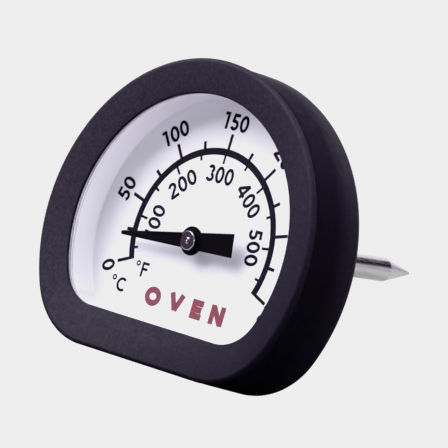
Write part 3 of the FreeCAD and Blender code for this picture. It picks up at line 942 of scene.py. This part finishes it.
def spindle_shaft(bright):
    """The spindle with a chamfered, centre-drilled front end."""
    chamfer_s = SPINDLE_FRONT_S + SPINDLE_CHAMFER
    profile = [
        (chamfer_s, 0), (SPINDLE_FRONT_S, 0.16), (SPINDLE_FRONT_S, 0.40),
        (chamfer_s, SPINDLE_RADIUS), (SPINDLE_BACK_S, SPINDLE_RADIUS), (SPINDLE_BACK_S, 0),
    ]
    shaft = turned("spindle_shaft", profile, segments=48)
    shaft.data.materials.append(bright)
    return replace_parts(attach(shaft, POINTER_BODY), "spindle")


# ------------------------------------------------------------------ studio

CAMERA_AIM = Vector((2.189, 1.944, 27.583)) * MM
CAMERA_AZIMUTH_DEG = 42.683
CAMERA_ELEVATION_DEG = -0.742
CAMERA_ROLL_DEG = 16.390
CAMERA_DISTANCE = 0.6156
CAMERA_LENS_MM = 281.25
PALE = (0.93, 0.93, 0.93)
WHITE_LEVEL = 0.855
TONE_POINTS = (
    (0.006, 0.002), (0.015, 0.007), (0.03, 0.022), (0.05, 0.046), (0.09, 0.09),
    (0.35, 0.35), (0.70, 0.70), (0.80, 0.79), (0.88, 0.845), (0.94, 0.855),
)
DARK_PATCH_DIRECTION = (0.276, 0.735, 0.619)
DARK_PATCH_FROM, DARK_PATCH_FULL = 0.90, 0.955
FLOOR_HALF = 6.0
GLOW_FROM_Y, GLOW_FULL_Y = 0.02, 0.11
LAMP_DISTANCE = 0.7
LAMP_TINT = (1.0, 0.97, 1.11)
LAMPS = (  # name, azimuth and elevation in degrees, size, power in watts
    ("key_high", -16, 45, 0.50, 4.5),
    ("key_left", -42, 28, 0.50, 4.8),
    ("fill_right", 76, 3, 0.45, 3.7),
    ("rim_left", -120, 15, 0.27, 3.0),
    ("rim_right", 140, 62, 0.35, 2.2),
)


def direction_at(azimuth_deg, elevation_deg):
    """The direction that far to the right of the dial's front, and that far above level."""
    azimuth, elevation = math.radians(azimuth_deg), math.radians(elevation_deg)
    return Vector((
        math.sin(azimuth) * math.cos(elevation),
        -math.cos(azimuth) * math.cos(elevation),
        math.sin(elevation),
    ))


def looking_back(centre, direction, distance):
    """The placing of a camera or lamp out along a direction from a centre, facing it."""
    turn = direction.to_track_quat("Z", "Y").to_matrix().to_4x4()
    return Matrix.Translation(centre + direction * distance) @ turn


def make_camera():
    """A long lens at the viewing angle, rolled a little."""
    data = bpy.data.cameras.new("camera")
    data.lens = CAMERA_LENS_MM
    data.clip_start, data.clip_end = 0.05, 20
    camera = bpy.data.objects.new("camera", data)
    back = direction_at(CAMERA_AZIMUTH_DEG, CAMERA_ELEVATION_DEG)
    roll = Matrix.Rotation(math.radians(CAMERA_ROLL_DEG), 4, "Z")
    camera.matrix_world = looking_back(CAMERA_AIM, back, CAMERA_DISTANCE) @ roll
    bpy.context.scene.collection.objects.link(camera)
    bpy.context.scene.camera = camera


def make_lamp(name, azimuth_deg, elevation_deg, size, power):
    """A soft round lamp that faces the dial's centre."""
    data = bpy.data.lights.new(name, "AREA")
    data.shape = "DISK"
    data.size = size
    data.energy = power
    data.color = LAMP_TINT
    lamp = bpy.data.objects.new(name, data)
    out = direction_at(azimuth_deg, elevation_deg)
    lamp.matrix_world = looking_back(DIAL_CENTRE, out, LAMP_DISTANCE)
    bpy.context.scene.collection.objects.link(lamp)


def make_world():
    """Pale to look at, while what lights the object is bright behind it and dim in front.

    A dark patch in it keeps the upper right of the cover's side from shining.
    """
    world = bpy.data.worlds.new("studio")
    bpy.context.scene.world = world
    world.use_nodes = True
    tree = world.node_tree
    tree.nodes.clear()
    direction = add(tree, "TexCoord").outputs["Generated"]
    parts = add(tree, "SeparateXYZ", Vector=direction)
    behind = ramp(tree, parts.outputs["Y"], -0.1, 0.6, 0.0, 1.0)
    rightness = ramp(tree, parts.outputs["X"], -0.5, 0.5, 0.0, 1.0)
    front = colours(tree, rightness, (0.02, 0.02, 0.022), (0.05, 0.05, 0.055))
    backdrop = colours(tree, rightness, (0.90, 0.88, 0.96), (0.52, 0.50, 0.54))
    around = colours(tree, behind, front, backdrop)
    nearness = dot(tree, direction, DARK_PATCH_DIRECTION)
    patch = ramp(tree, nearness, DARK_PATCH_FROM, DARK_PATCH_FULL, 0.0, 1.0)
    tone = colours(tree, patch, around, (0.004, 0.002, 0.004))
    light = add(tree, "Background", Color=tone, Strength=1.0)
    seen = add(tree, "Background", Color=(*PALE, 1), Strength=1.0)
    from_camera = add(tree, "LightPath").outputs["Is Camera Ray"]
    both = mixed(tree, from_camera, light, seen)
    tree.links.new(both, add(tree, "OutputWorld").inputs["Surface"])


def make_floor():
    """A floor that looks plain and pale, and mirrors as pale only behind the object."""
    half = FLOOR_HALF
    corners = [(-half, -half, 0), (half, -half, 0), (half, half, 0), (-half, half, 0)]
    floor = mesh_object("floor", corners, [(0, 1, 2, 3)])
    material, tree, bsdf = shader("floor_pale")
    cloud = ramp(tree, noise(tree, 400.0), 0.3, 0.7, 0.0, 1.0)
    surface(
        bsdf, tree,
        Base_Color=colours(tree, cloud, (0.42, 0.41, 0.45), (0.44, 0.43, 0.47)),
        Roughness=0.9,
        Specular_IOR_Level=0.1,
    )
    path = add(tree, "LightPath")
    from_camera = path.outputs["Is Camera Ray"]
    depth = add(tree, "SeparateXYZ", Vector=place(tree)).outputs["Y"]
    behind = ramp(tree, depth, GLOW_FROM_Y, GLOW_FULL_Y, 0.02, 0.7)
    strength = maths(tree, "MAXIMUM", from_camera, behind)
    glow = add(tree, "Emission", Color=(*PALE, 1), Strength=strength)
    share = maths(tree, "MAXIMUM", from_camera, path.outputs["Is Glossy Ray"])
    both = mixed(tree, share, bsdf, glow)
    tree.links.new(both, tree.nodes["Material Output"].inputs["Surface"])
    floor.data.materials.append(material)


def set_tone():
    """Standard colours, with deeper blacks and with whites held at the backdrop's level."""
    view = bpy.context.scene.view_settings
    view.view_transform = "Standard"
    view.use_curve_mapping = True
    mapping = view.curve_mapping
    mapping.extend = "HORIZONTAL"
    combined = mapping.curves[3]
    combined.points[-1].location = (1.0, WHITE_LEVEL)
    for level, shown in TONE_POINTS:
        combined.points.new(level, shown)
    mapping.update()


# --------------------------------------------------------------- assembling

def paint_nodes():
    """Give each CAD node that stays in view its material."""
    brass = metal_material("brass_turned", (0.58, 0.40, 0.16), (0.78, 0.58, 0.27), 0.3)
    plated = metal_material("steel_plated", (0.42, 0.42, 0.40), (0.62, 0.62, 0.60), 0.35)
    stem = metal_material(
        "stem_steel", (0.66, 0.63, 0.67), (0.82, 0.79, 0.83), 0.18,
        stretch=(1, 0.04, 1), size_mm=0.3, streak=0.12,
    )
    drawn = metal_material(
        "steel_drawn", (0.45, 0.45, 0.46), (0.62, 0.62, 0.63), 0.38, stretch=(1, 0.1, 1),
    )
    turned_steel = metal_material(
        "steel_turned", (0.5, 0.5, 0.51), (0.7, 0.7, 0.71), 0.28, stretch=(0.1, 1, 0.1),
    )
    bimetal = metal_material("bimetal_strip", (0.36, 0.31, 0.26), (0.56, 0.50, 0.42), 0.4)
    dark_seal = soft_seal_material("gasket_grey", (0.055, 0.05, 0.06), (0.085, 0.08, 0.09))
    red_seal = soft_seal_material("seal_brick", (0.26, 0.045, 0.025), (0.34, 0.07, 0.04))
    finishes = {
        "case_shell": drawn,
        "retaining_ring": drawn,
        "spacer_ring": drawn,
        "lens": glass_material(),
        "lens_gasket": dark_seal,
        "dial_pan": enamel_material(),
        "stem_head": turned_steel,
        "sealing_washer": red_seal,
        "lock_washer": plated,
        "clamp_nut": plated,
        "front_bearing": brass,
        "guide_bush": brass,
        "coil_anchor": brass,
        "coil_collar": brass,
        "stem_tube": stem,
        "stem_tip": stem,
        "bimetal_coil": bimetal,
    }
    for name, material in finishes.items():
        for holder in frame["nodes"][name].material_slots:
            holder.material = material


def dress_head():
    """The pieces that Blender makes for the head."""
    black_ink = ink_material("ink_black", (0.004, 0.003, 0.006), (0.011, 0.009, 0.014))
    red_ink = ink_material("ink_red", (0.175, 0.044, 0.058), (0.250, 0.068, 0.088))
    skin = silicone_skin()
    skin.data.materials.append(silicone_material())
    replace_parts(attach(skin, HEAD), "silicone_cover")
    print_scale(black_ink)
    print_numbers(black_ink)
    print_units(black_ink)
    print_word(red_ink)


def dress_pointer():
    """The pieces that Blender makes for what turns."""
    black = black_paint_material()
    bright = metal_material("spindle_bright", (0.62, 0.60, 0.64), (0.88, 0.86, 0.90), 0.2)
    pointer_blade(black)
    pointer_hub(black, turned_face_material(), bright)
    spindle_shaft(bright)


make_camera()
make_world()
make_floor()
for lamp_settings in LAMPS:
    make_lamp(*lamp_settings)
paint_nodes()
dress_head()
dress_pointer()
set_tone()
